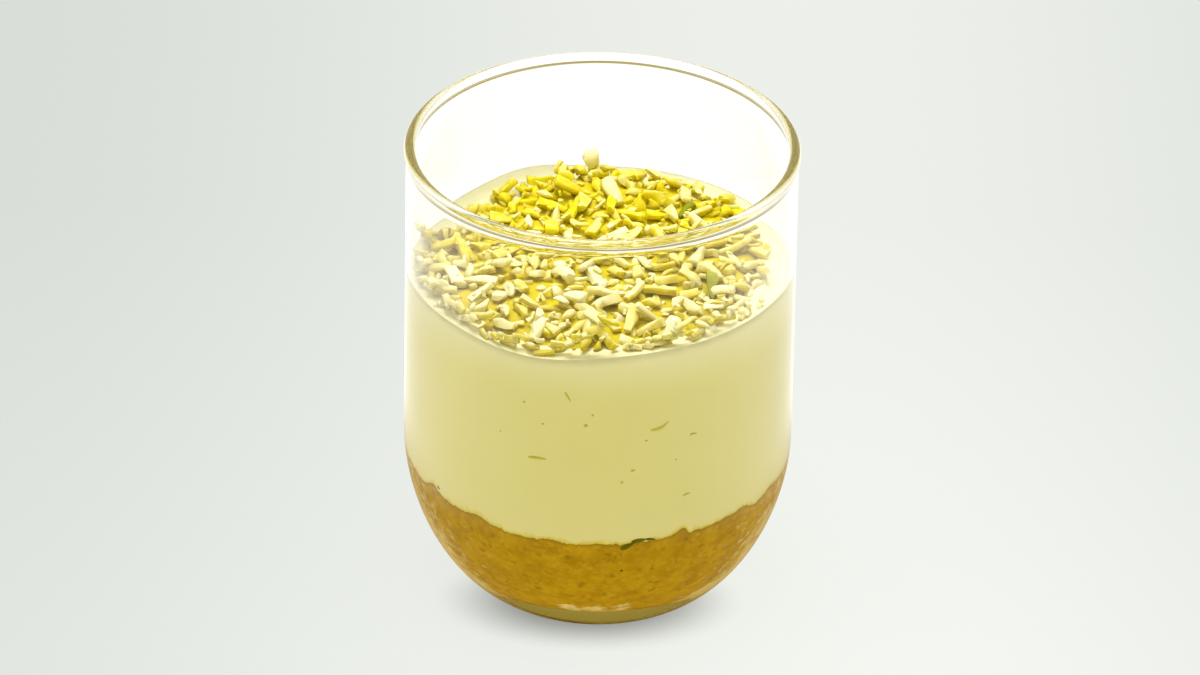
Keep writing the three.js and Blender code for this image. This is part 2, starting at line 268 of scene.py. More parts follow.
def seen_ground(tree, place):
    """What the camera sees: painted light, brightest to the right, and a painted shadow in front of the foot.
    """
    # Painted light: the glow is brightest a little right of the cup and fades away from there
    aside = calculate(tree, "SUBTRACT", coordinate(tree, place, "X"), PAINTED_LIGHT_MIDDLE)
    lighter = ramp(tree, calculate(tree, "ABSOLUTE", aside), 0.0, GROUND_FALL_OFF, 1.0, 0.0, "SMOOTHSTEP")
    ground = blend(tree, lighter, GROUND_BEYOND_PAINTED_LIGHT, GROUND_IN_PAINTED_LIGHT)
    # Painted shadow: an oval in front of the foot where the glow is dimmed
    shifted = add_node(tree, "ShaderNodeVectorMath", {0: place, 1: SHADOW_MIDDLE}, operation="SUBTRACT")
    oval = add_node(tree, "ShaderNodeVectorMath", {0: shifted.outputs[0], 1: (1, SHADOW_STRETCH, 0)},
                    operation="MULTIPLY")
    shade = ramp(tree, distance(tree, oval.outputs[0]), SHADOW_CORE, SHADOW_REACH, 1 - SHADOW_DEPTH, 1.0,
                 "SMOOTHSTEP")
    dimmer = ramp(tree, coordinate(tree, place, "Y"), *GROUND_DIMMING, *GROUND_STRENGTHS)
    glow = emission(tree, ground, calculate(tree, "MULTIPLY", shade, dimmer))
    lit = add_node(tree, "ShaderNodeBsdfDiffuse", {"Color": ground})
    return either(tree, SHADE_SHARE, glow, lit.outputs[0])


def shown_table(tree, place, away):
    """What shows through the glass: white behind, dim in front and far away, painted shade under the foot."""
    strength = ramp(tree, coordinate(tree, place, "Y"), *SHOWN_CHANGE, *SHOWN_STRENGTHS)
    far = ramp(tree, away, *BRIGHT_TABLE_END)
    table = blend(tree, far, "#fbfcff", "#9d8f4c")
    # Painted shade under the foot, dark brown like mirrored crumbs, with pale painted glints in streaks
    streak = ramp(tree, patches(tree, place, 0.16 / MM, 3.0), *CONTACT_STREAKS)
    painted_shade_and_glints = blend(tree, streak, "#86692a", "#e2d6b0")
    beside = ramp(tree, away, *FOOT_CONTACT, interpolation="SMOOTHSTEP")
    return emission(tree, blend(tree, beside, painted_shade_and_glints, table), strength)


def light_from_below(tree, place):
    """What lights the food: a white table, brighter in front, as a reflector there would make it."""
    strength = ramp(tree, coordinate(tree, place, "Y"), *LIGHT_CHANGE, *LIGHT_STRENGTHS)
    return emission(tree, "#fffff8", strength)


def mirrored_table(tree, place, away):
    """What the outside of the glass mirrors: dim in front, bright to the sides, warm close to the bowl."""
    sideways = add_node(tree, "ShaderNodeVectorMath", {0: place}, operation="NORMALIZE").outputs["Vector"]
    strength = ramp(tree, coordinate(tree, sideways, "Y"), *MIRRORED_CHANGE, *MIRRORED_STRENGTHS)
    clear = ramp(tree, away, *BOWL_GLOW, interpolation="SMOOTHSTEP")
    return emission(tree, blend(tree, clear, "#a98f5c", "#fffef8"), strength)


def studio_paper():
    """Seamless paper that glows. A ray that left glass last was either mirrored or let through by it."""
    material, tree, output = new_material("studio paper")
    place = add_node(tree, "ShaderNodeTexCoord").outputs["Object"]
    away = distance(tree, place)
    path = add_node(tree, "ShaderNodeLightPath").outputs
    off_glass = add_node(tree, "ShaderNodeMath", {0: path["Is Glossy Ray"], 1: path["Is Transmission Ray"]},
                         operation="SUBTRACT", use_clamp=True).outputs[0]
    off_food = calculate(tree, "GREATER_THAN", path["Diffuse Depth"], 0.5)
    in_glass = either(tree, off_glass, shown_table(tree, place, away), mirrored_table(tree, place, away))
    unseen = either(tree, off_food, in_glass, light_from_below(tree, place))
    choice = either(tree, path["Is Camera Ray"], unseen, seen_ground(tree, place))
    tree.links.new(choice, output.inputs["Surface"])
    return material


make_floor()
print(f"floor {2 * FLOOR_SIZE:.0f} m wide, {FLOOR_DROP / MM:.2f} mm under the foot")


# %% Light the sky and hang the soft box
# How far up, and how far to the front or the back, a direction points where the sky turns bright
SKY_BRIGHTENS = (0.0, 0.55)
SKY_ENDS_BRIGHTEN = (0.4, 0.8)


def light_sky():
    """A bright sky overhead, before and behind the cup, that falls off to a dim horizon at its sides."""
    world = bpy.data.worlds.new("studio")
    world.use_nodes = True
    tree = world.node_tree
    tree.nodes.clear()
    direction = add_node(tree, "ShaderNodeTexCoord").outputs["Generated"]
    overhead = ramp(tree, coordinate(tree, direction, "Z"), *SKY_BRIGHTENS)
    ends = ramp(tree, calculate(tree, "ABSOLUTE", coordinate(tree, direction, "Y")), *SKY_ENDS_BRIGHTEN)
    sky = blend(tree, calculate(tree, "MAXIMUM", overhead, ends), "#8a7a34", "#f4f4ee")
    from_camera = add_node(tree, "ShaderNodeLightPath").outputs["Is Camera Ray"]
    seen = blend(tree, from_camera, sky, GROUND_IN_PAINTED_LIGHT)
    background = add_node(tree, "ShaderNodeBackground", {"Color": seen, "Strength": 1.0})
    output = add_node(tree, "ShaderNodeOutputWorld")
    tree.links.new(background.outputs[0], output.inputs["Surface"])
    bpy.context.scene.world = world


def hang_softbox():
    """A round soft box. Its power is worked out from the radiance wanted of its face."""
    lamp = bpy.data.lights.new("soft_box", "AREA")
    lamp.shape = "DISK"
    lamp.size = 2 * SOFTBOX_RADIUS
    lamp.energy = SOFTBOX_RADIANCE * math.pi * math.pi * SOFTBOX_RADIUS ** 2
    holder = add_object("soft_box", lamp)
    holder.location = SOFTBOX_PLACE
    holder.rotation_mode = "QUATERNION"
    holder.rotation_quaternion = (CUP_MIDDLE - SOFTBOX_PLACE).to_track_quat("-Z", "Y")
    return lamp


def let_light_through():
    """Light that enters the rim runs round inside it, so it may bounce more often than usual."""
    cycles = bpy.context.scene.cycles
    cycles.max_bounces = LIGHT_BOUNCES
    cycles.glossy_bounces = LIGHT_BOUNCES
    cycles.transmission_bounces = LIGHT_BOUNCES


light_sky()
softbox = hang_softbox()
let_light_through()
bpy.context.scene.view_settings.view_transform = "Standard"
bpy.context.scene.view_settings.look = "None"
print(f"soft box {softbox.size:.2f} m across, {softbox.energy:.1f} W")

# %% [markdown]
# ## Helpers for round pieces
# Angles round the cup start at the front and grow towards the right. A swelling is one rounded rise or dip in
# a line that runs round the cup. Every piece ends the same way: scaled to metres, given its material, and
# made to ride on the cup.

# %% Measure round the cup
def front_angle(x, y):
    return math.degrees(math.atan2(x, -y))


def swelling(angle, middle, half_width, height):
    away = (angle - middle + 540) % 360 - 180
    return height * math.exp(-((away / half_width) ** 2))


def smooth_step(low, high, value):
    share = min(max((value - low) / (high - low), 0), 1)
    return share * share * (3 - 2 * share)


def lerp(first, second, share):
    return first + (second - first) * share


print("straight ahead is", front_angle(0, -1), "and the right side is", front_angle(1, 0))


# %% Finish a piece
def finish_piece(bm, name, material, node=None):
    """Turn a bmesh in millimetres into a piece in metres that rides on the cup."""
    bmesh.ops.scale(bm, vec=(MM, MM, MM), verts=bm.verts)
    mesh = bpy.data.meshes.new(name)
    bm.to_mesh(mesh)
    bm.free()
    mesh.shade_smooth()
    piece = add_object(name, mesh)
    mesh.materials.append(material)
    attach(piece, "root")
    if node:
        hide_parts(node)
    triangles = sum(len(face.vertices) - 2 for face in mesh.polygons)
    heights = [vert.co.z / MM for vert in mesh.vertices]
    print(f"{name}: {triangles} triangles, {min(heights):.2f} to {max(heights):.2f} mm above the floor")


def spin_outline(outline, sides):
    """Spin a chain of (radius, height) points once round the axis into a closed shell."""
    bm = bmesh.new()
    chain = [bm.verts.new((radius, 0, height)) for radius, height in outline]
    edges = [bm.edges.new(pair) for pair in zip(chain, chain[1:])]
    bmesh.ops.spin(bm, geom=chain + edges, cent=(0, 0, 0), axis=(0, 0, 1),
                   angle=math.tau, steps=sides, use_merge=True)
    bmesh.ops.remove_doubles(bm, verts=bm.verts, dist=1e-5)
    bmesh.ops.recalc_face_normals(bm, faces=bm.faces)
    return bm


# %% [markdown]
# ## Glass tumbler
# A tumbler like this is blown into a turning mould and its rim is melted round with a flame. So its shape is
# one outline turned about an axis: a thick round bottom that is pushed up a little under the foot, a thin
# wall that leans in a little, and a rolled lip that is slightly thicker than the wall. Spinning that outline
# gives it in one go, where a cylinder with modifiers would need its bowl and lip shaped afterwards.

# %% Give the glass's measures
LIP_RADIUS = 1.1
LIP_WALL = 37.1
BOWL_WALL = 37.4
WALL_THICKNESS = 1.6
BOWL_HEIGHT = 32.5
FOOT_RADIUS = 17.2
PUSH_UP = 0.6
BOWL_ROUNDNESS = 1.8
FLOOR_THICKNESS = 8.8
FLOOR_RADIUS = 14.0
GLASS_SIDES = 192
BOWL_STEPS = 28
LIP_STEPS = 24
PUSH_UP_SHARES = (0, 0.2, 0.4, 0.55, 0.7, 0.82, 0.92)
OUTER_BOWL = {"bottom": 0, "top": BOWL_HEIGHT, "disc": FOOT_RADIUS, "wall": BOWL_WALL}
INNER_BOWL = {"bottom": FLOOR_THICKNESS, "top": BOWL_HEIGHT, "disc": FLOOR_RADIUS,
              "wall": BOWL_WALL - WALL_THICKNESS}


# %% Work out the glass's outline
def bowl_points(bowl, steps):
    """A quarter superellipse from the flat disc at the bottom up to the upright wall."""
    points = []
    for step in range(steps + 1):
        turn = step / steps * math.pi / 2
        out = math.sin(turn) ** (2 / BOWL_ROUNDNESS)
        up = 1 - max(math.cos(turn), 0) ** (2 / BOWL_ROUNDNESS)
        points.append((lerp(bowl["disc"], bowl["wall"], out), lerp(bowl["bottom"], bowl["top"], up)))
    return points


def inside_radius(height):
    """The radius of the inside of the glass at a height above the foot."""
    bottom, top, disc, wall = (INNER_BOWL[key] for key in ("bottom", "top", "disc", "wall"))
    if height >= top:
        return wall + (LIP_WALL - BOWL_WALL) * (height - top) / (GLASS_HEIGHT - top)
    down = min(max((top - height) / (top - bottom), 0), 1)
    return lerp(disc, wall, (1 - down ** BOWL_ROUNDNESS) ** (1 / BOWL_ROUNDNESS))


def glass_outline():
    """From the middle of the foot up the outside, over the lip and down the inside to the middle."""
    lip_foot = GLASS_HEIGHT - 3.2 * LIP_RADIUS
    middle = (RIM_RADIUS - LIP_RADIUS, GLASS_HEIGHT - LIP_RADIUS)
    lip = []
    for step in range(LIP_STEPS + 1):
        turn = math.radians(-35 + 250 * step / LIP_STEPS)
        lip.append((middle[0] + LIP_RADIUS * math.cos(turn), middle[1] + LIP_RADIUS * math.sin(turn)))
    push_up = [(FOOT_RADIUS * share, PUSH_UP * (1 - share ** 3)) for share in PUSH_UP_SHARES]
    return [*push_up, *bowl_points(OUTER_BOWL, BOWL_STEPS), (LIP_WALL, lip_foot), *lip,
            (LIP_WALL - WALL_THICKNESS, lip_foot), *reversed(bowl_points(INNER_BOWL, BOWL_STEPS)),
            (0, FLOOR_THICKNESS)]


print("inside radius at mid height:", round(inside_radius(GLASS_HEIGHT / 2), 2), "mm")

# %% [markdown]
# ### Soda-lime glass
# Clear pressed and blown tableware is soda-lime glass, with an IOR of 1.52. Flame polishing leaves it without
# any roughness. Iron in the sand gives it an olive tint that shows only where light travels through it
# lengthwise, as at the sides of the rim, so the tint is in the volume and not on the surface.


# %% Make the glass material
def soda_lime_glass():
    material, tree, output = new_material("soda-lime glass, blown and flame-polished")
    give_surface(tree, output, Base_Color=(1, 1, 1, 1), Roughness=0.0, IOR=1.52, Transmission_Weight=1.0)
    tint = add_node(tree, "ShaderNodeVolumeAbsorption", {"Color": "#f1ecc6", "Density": 115.0})
    tree.links.new(tint.outputs[0], output.inputs["Volume"])
    return material


# %% Spin the glass
tumbler_shell = spin_outline(glass_outline(), GLASS_SIDES)
finish_piece(tumbler_shell, "tumbler", soda_lime_glass(), "glass_tumbler")

# %% [markdown]
# ## Where the layers meet
# The crumbs were pressed into the bowl by hand, so their edge against the glass is craggy and a little lower
# at the front. The cheesecake was levelled with a spatula: it dips at the front left, is smeared up the glass
# at the back left and keeps curved strokes beside the nuts. The same rules give the faces of both layers, so
# they meet without a gap.

# %% Draw the crumb line and the cheesecake's face
CRUMB_LEVEL = 29.6
CREAM_LEVEL = 70.1
# Middle and half width in degrees, and height in millimetres, of each crag in the crumb line
CRAGS = (
    (-58, 4, 2.1), (27, 4, 1.5), (14, 6, 0.7), (6, 6, -0.9), (128, 7, 1.6), (-150, 6, 1.8),
    (-50, 5, 0.9), (-40, 4, 0.5), (-13, 3, 0.5), (29.5, 1.4, -1.0), (51, 3, 0.7), (64, 4, 0.9),
    (-70, 5, 0.6), (100, 3, 0.8), (160, 5, -0.8), (-110, 4, 0.9), (175, 2.5, 0.7),
)
CRUMB_GRAIN = 0.4
# Share and number to a millimetre of each noise that makes the crumb line grainy
GRAINS = ((1.0, 0.45), (0.6, 1.1), (0.7, 2.3))


def crumb_line(angle):
    turn = math.radians(angle)
    ripple = 0.35 * math.sin(9 * turn + 1.1) + 0.25 * math.sin(17 * turn + 0.4)
    round_cup = Vector((math.cos(turn), math.sin(turn), 0)) * BOWL_WALL
    grain = sum(share * noise.noise(round_cup * scale) for share, scale in GRAINS)
    crags = sum(swelling(angle, *crag) for crag in CRAGS)
    return CRUMB_LEVEL - 1.0 * math.cos(turn) + ripple + crags + CRUMB_GRAIN * grain


def crumb_top(x, y):
    reach = math.hypot(x, y) / BOWL_WALL
    return lerp(CRUMB_LEVEL - 0.6, crumb_line(front_angle(x, y)), smooth_step(0.3, 0.95, reach))


def cream_top(x, y):
    radius = math.hypot(x, y)
    angle = front_angle(x, y)
    edge = smooth_step(18, 33, radius)
    level = CREAM_LEVEL + 0.02 * x + edge * swelling(angle, -20, 22, -1.5)
    strokes_right = swelling(angle, 84, 34, 0.5) * math.cos((radius - 30.5 + 0.04 * angle) * 1.75)
    strokes_back = swelling(angle, -140, 30, 0.4) * math.cos((radius - 31.5) * 1.5)
    smear = smooth_step(30.5, 35, radius) * swelling(angle, -156, 15, 1.3)
    return level + smear + edge * (strokes_right + strokes_back)


print(f"in front the crumbs end at {crumb_line(0):.2f} mm and the cheesecake at {cream_top(0, -35):.2f} mm")

# %% [markdown]
# ## Pouring a layer
# A filling takes the shape of what holds it. Both layers start as the same unit drum: radius 1, height 1,
# spun from a few points. Each of its vertices is then moved: the drum's side goes to the inside of the glass,
# and its two ends to the faces below and above. The side reaches a tenth of a millimetre into the glass, so
# that no film of air shows between them, as there is none in a real cup.

# %% Pour a layer between two faces
FILLING_SIDES = 640
REACH_INTO_WALL = 0.12


@cache
def meets_wall(turn, height_at):
    """The radius and height at which a face of the filling reaches the glass."""
    radius = inside_radius(CREAM_LEVEL)
    for _ in range(4):
        height = height_at(radius * math.cos(turn), radius * math.sin(turn))
        radius = inside_radius(height) + REACH_INTO_WALL
    return radius, height


def drum_outline(under_shares, side_shares, over_shares):
    """The half section of the unit drum: out along the bottom, up the side and back along the top."""
    under = [(share, 0) for share in under_shares]
    side = [(1, share) for share in side_shares]
    over = [(share, 1) for share in reversed(over_shares)]
    return under + side + over


def pour(bm, under, over):
    """Move the unit drum's vertices to the wall of the glass and to the faces under and over the layer."""
    for vert in bm.verts:
        share, rise = math.hypot(vert.co.x, vert.co.y), vert.co.z
        turn = round(math.atan2(vert.co.y, vert.co.x), 5)
        if share > 0.9999:
            low, high = meets_wall(turn, under), meets_wall(turn, over)
            height = lerp(low[1], high[1], rise)
            radius = inside_radius(height) + REACH_INTO_WALL
        else:
            face = over if rise > 0.5 else under
            radius = share * meets_wall(turn, face)[0]
            height = face(radius * math.cos(turn), radius * math.sin(turn))
        vert.co = (radius * math.cos(turn), radius * math.sin(turn), height)
    bmesh.ops.recalc_face_normals(bm, faces=bm.faces)
    return bm


# %% [markdown]
# ### Pressed biscuit crumbs
# Crushed biscuits held together with butter press into a damp, grainy mass. Against the glass the butter
# darkens it to golden brown. Where crumbs don't quite touch the glass they look pale and dusty, mostly to the
# sides and in a row of patches at the very bottom, and a few burnt crumbs show as dark specks. Along the
# cream they are soaked and darkest. Grain size in a biscuit base is about half a millimetre to two.


# %% Make the crumb material
def pressed_crumbs():
    material, tree, output = new_material("pressed biscuit crumbs, buttered")
    place = add_node(tree, "ShaderNodeTexCoord").outputs["Object"]
    dusty = written_on(tree, "dusty")
    grains = add_node(tree, "ShaderNodeTexVoronoi", {"Vector": place, "Scale": 1.1 / MM}).outputs["Color"]
    dust = patches(tree, place, 0.5 / MM, 6.0, 0.7)
    spread = ramp(tree, patches(tree, place, 0.22 / MM, 5.0, 0.65), 0.35, 0.65)
    warm = blend(tree, spread, "#b08600", "#caa20a")
    lighter = ramp(tree, coordinate(tree, grains, "X"), 0.5, 1.0, 0.0, 0.5)
    grained = blend(tree, lighter, warm, "#d3ab26")
    burnt = ramp(tree, coordinate(tree, grains, "Y"), 0.94, 0.98, 0.0, 0.55)
    flecked = blend(tree, burnt, grained, "#8c6e04")
    pale = ramp(tree, calculate(tree, "MULTIPLY_ADD", dusty, 0.34, dust), 0.64, 0.8)
    dry = blend(tree, pale, flecked, "#e8d3a4")
    clumps = calculate(tree, "MULTIPLY_ADD", dust, dusty, 0.42)
    white = ramp(tree, calculate(tree, "MULTIPLY", dust, clumps), 0.54, 0.62)
    speckled = blend(tree, white, dry, "#f4ecd4")
    ragged = ramp(tree, dust, 0.35, 0.65, 0.3, 1.2)
    soaked = ramp(tree, written_on(tree, "under_line"), 0.0, ragged, 0.75, 0.0)
    colour = blend(tree, soaked, speckled, "#8f7400")
    give_surface(tree, output, Base_Color=colour, Roughness=0.7, IOR=1.45, Specular_IOR_Level=0.1,
                 Normal=bump(tree, dust, 0.2 * MM, 0.5))
    return material


# %% Pour the crumb base
CRUMB_FACE_SHARES = (0, 0.15, 0.35, 0.55, 0.75, 0.88, 0.96)
CRUMB_SIDE_STEPS = 44
# The crumbs' heights against the glass lie closer together towards the crumb line
CRUMB_SPACING = (-0.25, 1.06)
# Middle and half width in degrees of the stretches where the crumbs are dry, and how dry they are
DRY_STRETCHES = ((88, 30, 1.3), (-88, 30, 1.3), (152, 24, 0.9), (-135, 20, 0.8))
DRY_AT_FOOT = ((-12, 6, 1.1), (1, 5, 1.0), (13, 5, 0.9), (60, 12, 0.8), (-70, 10, 0.8), (170, 14, 0.9))


def crumb_floor(x, y):
    return FLOOR_THICKNESS - REACH_INTO_WALL


def dryness(place):
    """1 where the crumbs against the glass are dry and dusty, 0 where butter darkens them."""
    angle = front_angle(place.x, place.y)
    beside = sum(swelling(angle, *stretch) for stretch in DRY_STRETCHES)
    low_down = smooth_step(crumb_line(angle) + 3, FLOOR_THICKNESS + 4, place.z)
    at_foot = smooth_step(FLOOR_THICKNESS + 3.0, FLOOR_THICKNESS + 1.2, place.z)
    spots = sum(swelling(angle, *spot) for spot in DRY_AT_FOOT)
    return min(beside * lerp(0.45, 1.1, low_down) + spots * at_foot, 1)


def crumb_base():
    eased = [smooth_step(*CRUMB_SPACING, step / CRUMB_SIDE_STEPS) for step in range(CRUMB_SIDE_STEPS + 1)]
    side = [(share - eased[0]) / (eased[-1] - eased[0]) for share in eased]
    drum = spin_outline(drum_outline((0, 0.35, 0.7), side, CRUMB_FACE_SHARES), FILLING_SIDES)
    bm = pour(drum, crumb_floor, crumb_top)
    dusty = bm.verts.layers.float.new("dusty")
    under_line = bm.verts.layers.float.new("under_line")
    for vert in bm.verts:
        vert[dusty] = dryness(vert.co)
        vert[under_line] = crumb_top(vert.co.x, vert.co.y) - vert.co.z
    return bm


finish_piece(crumb_base(), "crumb_layer", pressed_crumbs(), "crumb_base")

# %% [markdown]
# ### Set matcha cream
# Cream cheese and whipped cream with matcha set to a smooth, dense foam with a soft satin face. Its foot
# soaks up butter from the crumbs, which leaves a thin yellow fringe along them. Light from above is painted
# into it, as a paler colour towards its top. The strokes there are real relief, and only the finest
# unevenness is left to bump.


# %% Make the cheesecake material
def set_cream():
    material, tree, output = new_material("matcha cream, whipped and set")
    place = add_node(tree, "ShaderNodeTexCoord").outputs["Object"]
    plain = blend(tree, patches(tree, place, 0.05 / MM, 2.0), "#ebe49a", "#f0e9a6")
    # Painted light: paler towards the top, as light from above would make it
    painted_light_near_top = ramp(tree, coordinate(tree, place, "Z"), 59 * MM, 71.2 * MM, 0.0, 0.8, "SMOOTHSTEP")
    lit = blend(tree, painted_light_near_top, plain, "#faf6cc")
    wander = ramp(tree, patches(tree, place, 0.5 / MM, 3.0), 0.3, 0.7, 0.3, 1.5)
    soaked = ramp(tree, written_on(tree, "above_crumbs"), 0.1, wander, 0.9, 0.0)
    colour = blend(tree, soaked, lit, "#e2cf3e")
    pores = patches(tree, place, 0.6 / MM, 3.0)
    give_surface(tree, output, Base_Color=colour, Roughness=0.45, IOR=1.4, Specular_IOR_Level=0.2,
                 Normal=bump(tree, pores, 0.06 * MM, 0.4))
    return material


# %% Pour the cheesecake
CREAM_SIDE_SHARES = (0, 0.008, 0.018, 0.03, 0.045) + tuple(0.08 + 0.046 * step for step in range(21))
CREAM_FACE_SHARES = (0, 0.1, 0.2, 0.3, 0.4, 0.5) + tuple(0.55 + 0.0125 * step for step in range(36))


def cheesecake_layer():
    drum = spin_outline(drum_outline(CRUMB_FACE_SHARES, CREAM_SIDE_SHARES, CREAM_FACE_SHARES), FILLING_SIDES)
    bm = pour(drum, crumb_top, cream_top)
    above = bm.verts.layers.float.new("above_crumbs")
    for vert in bm.verts:
        vert[above] = vert.co.z - crumb_top(vert.co.x, vert.co.y)
    return bm


finish_piece(cheesecake_layer(), "cheesecake_layer", set_cream(), "matcha_cheesecake")

# %% [markdown]
# ### Air against the glass
# Thick cream doesn't wet the glass everywhere. It leaves flat pockets of air: small dots, and curved slits
# where a fold of cream closed. Their look is painted shade: a tone darker and greener than the cream round
# them, and a dark one where a pocket lies on the crumbs. Each starts as a small sphere that is flattened,
# bent and pushed against the wall, where cutting hollows in the cream would need far more faces.

# %% Press air pockets against the glass
POCKET_DEPTH = 0.62
# Degrees round the cup, height, length, breadth, slope in degrees and sag, in millimetres
POCKETS = (
    (-9.0, 60.9, 2.4, 0.36, -62, 0.0), (-22.3, 58.3, 0.5, 0.4, 0, 0), (-16.3, 54.3, 0.5, 0.3, 0, 0),
    (-1.5, 57.2, 0.45, 0.4, 0, 0), (-3.5, 54.9, 0.85, 0.55, 10, 0), (18.6, 54.1, 3.9, 0.62, 22, -0.55),
    (29.6, 50.5, 1.7, 0.32, -8, 0.3), (14.6, 51.2, 0.7, 0.3, 0, 0), (-18.0, 46.5, 3.7, 0.58, 3, 0.12),
    (10.7, 44.9, 0.9, 0.42, 15, 0), (7.5, 42.4, 0.55, 0.5, 0, 0), (27.7, 37.6, 1.7, 0.3, 12, 0.2),
    (24.0, 46.0, 0.4, 0.3, 0, 0), (-30.0, 50.5, 0.4, 0.3, 0, 0), (142, 55.0, 3.1, 0.5, -18, 0.4),
    (-148, 48.0, 2.6, 0.5, 12, -0.3), (-120, 60.0, 0.8, 0.5, 0, 0), (105, 44.0, 1.2, 0.4, 25, 0.1),
    (170, 62.0, 0.6, 0.5, 0, 0), (-95, 42.5, 0.5, 0.4, 0, 0), (86, 58.0, 0.6, 0.35, 0, 0),
)
SEAM_POCKETS = (
    (9.7, 28.1, 3.2, 1.0, 30, -0.1), (13.0, 29.0, 3.0, 0.9, 8, 0.15), (16.6, 29.1, 2.0, 0.55, -10, 0),
    (8.4, 21.6, 0.6, 0.5, 0, 0), (-55.0, 31.2, 0.9, 0.4, -40, 0), (118, 30.4, 1.6, 0.5, 18, 0),
)


def press_pockets(pockets):
    """Join one flattened, bent sphere for each pocket, half in the cream and half in the wall."""
    bm = bmesh.new()
    for angle, height, length, breadth, slope, sag in pockets:
        made = bmesh.ops.create_uvsphere(bm, u_segments=14, v_segments=8, radius=0.5)["verts"]
        bmesh.ops.scale(bm, vec=(length, POCKET_DEPTH, breadth), verts=made)
        for vert in made:
            along = 2 * vert.co.x / length
            vert.co.z = vert.co.z * (1 - 0.35 * along) + sag * (1 - along ** 2)
        turned = (
            Matrix.Rotation(math.radians(angle), 4, "Z")
            @ Matrix.Translation((0, -inside_radius(height) - REACH_INTO_WALL, height))
            @ Matrix.Rotation(-math.radians(slope), 4, "Y")
        )
        bmesh.ops.transform(bm, matrix=turned, verts=made)
    bmesh.ops.recalc_face_normals(bm, faces=bm.faces)
    return bm


def air_as_painted_shade(name, colour):
    """Air behind glass is drawn as painted shade: a matt, darker tone of the food behind it."""
    material, tree, output = new_material(name)
    give_surface(tree, output, Base_Color=colour, Roughness=0.6, Specular_IOR_Level=0.0)
    return material


# Painted shade: darker and greener over the cream, and darker still over the crumbs
shaded_air_in_cream = air_as_painted_shade("air pockets in cream", "#cfca52")
shaded_air_on_crumbs = air_as_painted_shade("air pockets on crumbs", "#6d6a08")
finish_piece(press_pockets(POCKETS), "air_pockets", shaded_air_in_cream)
finish_piece(press_pockets(SEAM_POCKETS), "seam_air_pockets", shaded_air_on_crumbs)

# %% [markdown]
# ## The heap of nuts
# Chopped nuts fall on the cheesecake one by one and come to rest leaning on each other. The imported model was
# made by such a rule, and the same rule with the same draws is repeated here, so that every large piece lies
# where its plain stand-in lies. The pile is a grid of heights that grows with each piece dropped on it.

# %% Draw repeatable numbers
HEAP_SEED = 3.25


def seeded_draws(seed):
    """A repeatable row of draws from 0 to 1, by a linear congruential rule."""
    state = int(seed * 1e6) % 2 ** 32

    def draw():
        nonlocal state
        state = (state * 1664525 + 1013904223) % 2 ** 32
        return state / 2 ** 32

    return draw


def mixed_order(number, draw):
    order = list(range(number))
    for i in range(number - 1, 0, -1):
        other = int(draw() * (i + 1))
        order[i], order[other] = order[other], order[i]
    return order


print("the first five of ten in a mixed order:", mixed_order(10, seeded_draws(HEAP_SEED))[:5])


# %% Keep the pile's heights
CELLS = 74


def heap_reach(angle):
    """How far the heap reaches from the axis: to the glass at the front and left, less elsewhere."""
    back = swelling(angle, 180, 70, -2.6) + swelling(angle, 178, 22, 1.2) + swelling(angle, -135, 25, -1.6)
    return 33.6 + back + swelling(angle, 75, 28, -2.4)


def mound_top(x, y):
    share = min(math.hypot(x, y) / heap_reach(front_angle(x, y)), 1)
    hump = 1.5 * math.exp(-(((x + 2) / 12) ** 2)) * smooth_step(8, 24, y)
    swell = 0.9 + 1.5 * smooth_step(-30, 18, y) + hump
    fullness = 2.6 + 2.4 * smooth_step(4, 24, y)
    return cream_top(x, y) + swell * (1 - share ** fullness)


def cell_of(place):
    return min(max(math.floor(place + CELLS / 2), 0), CELLS - 1)


def start_pile():
    middles = [i - CELLS / 2 + 0.5 for i in range(CELLS)]
    return [[mound_top(x, y) for x in middles] for y in middles]


def pile_height(pile, x, y):
    return pile[cell_of(y)][cell_of(x)]


def pile_mean(pile, x, y):
    """The pile's height with the hollows between pieces averaged out."""
    return sum(pile_height(pile, x + dx, y + dy) for dx, dy in ((0, 0), (2, 0), (-2, 0), (0, 2), (0, -2))) / 5


pile = start_pile()
print("the bare mound is", round(pile_height(pile, 0, 0) - cream_top(0, 0), 2), "mm thick in the middle")

# %% Drop pieces on the pile
LOWER_PIECES = {"number": 230, "shortest": 2.8, "spread": 1.8, "width": 1.5, "thick": 1.0}
UPPER_PIECES = {"number": 160, "shortest": 3.6, "spread": 3.6, "width": 2.0, "thick": 1.25}
SMALL_PIECES = {"number": 270, "shortest": 1.3, "spread": 1.6, "width": 0.8, "thick": 0.6}
CRUMBLED_PIECES = {"number": 240, "shortest": 0.7, "spread": 0.8, "width": 0.5, "thick": 0.4}
GLASS_CLEARANCE = 34.6
GOLDEN_ANGLE = 180 * (3 - math.sqrt(5))


def raise_pile(pile, piece):
    ahead = (math.cos(piece["yaw"]), math.sin(piece["yaw"]))
    for step in range(-4, 5):
        along = step * 0.125 * piece["length"]
        for side in (-0.3, 0, 0.3):
            x = piece["x"] + along * ahead[0] - side * piece["width"] * ahead[1]
            y = piece["y"] + along * ahead[1] + side * piece["width"] * ahead[0]
            top = piece["z"] + math.tan(piece["lean"]) * along + 0.35 * piece["thick"]
            row, column = cell_of(y), cell_of(x)
            pile[row][column] = max(pile[row][column], top)


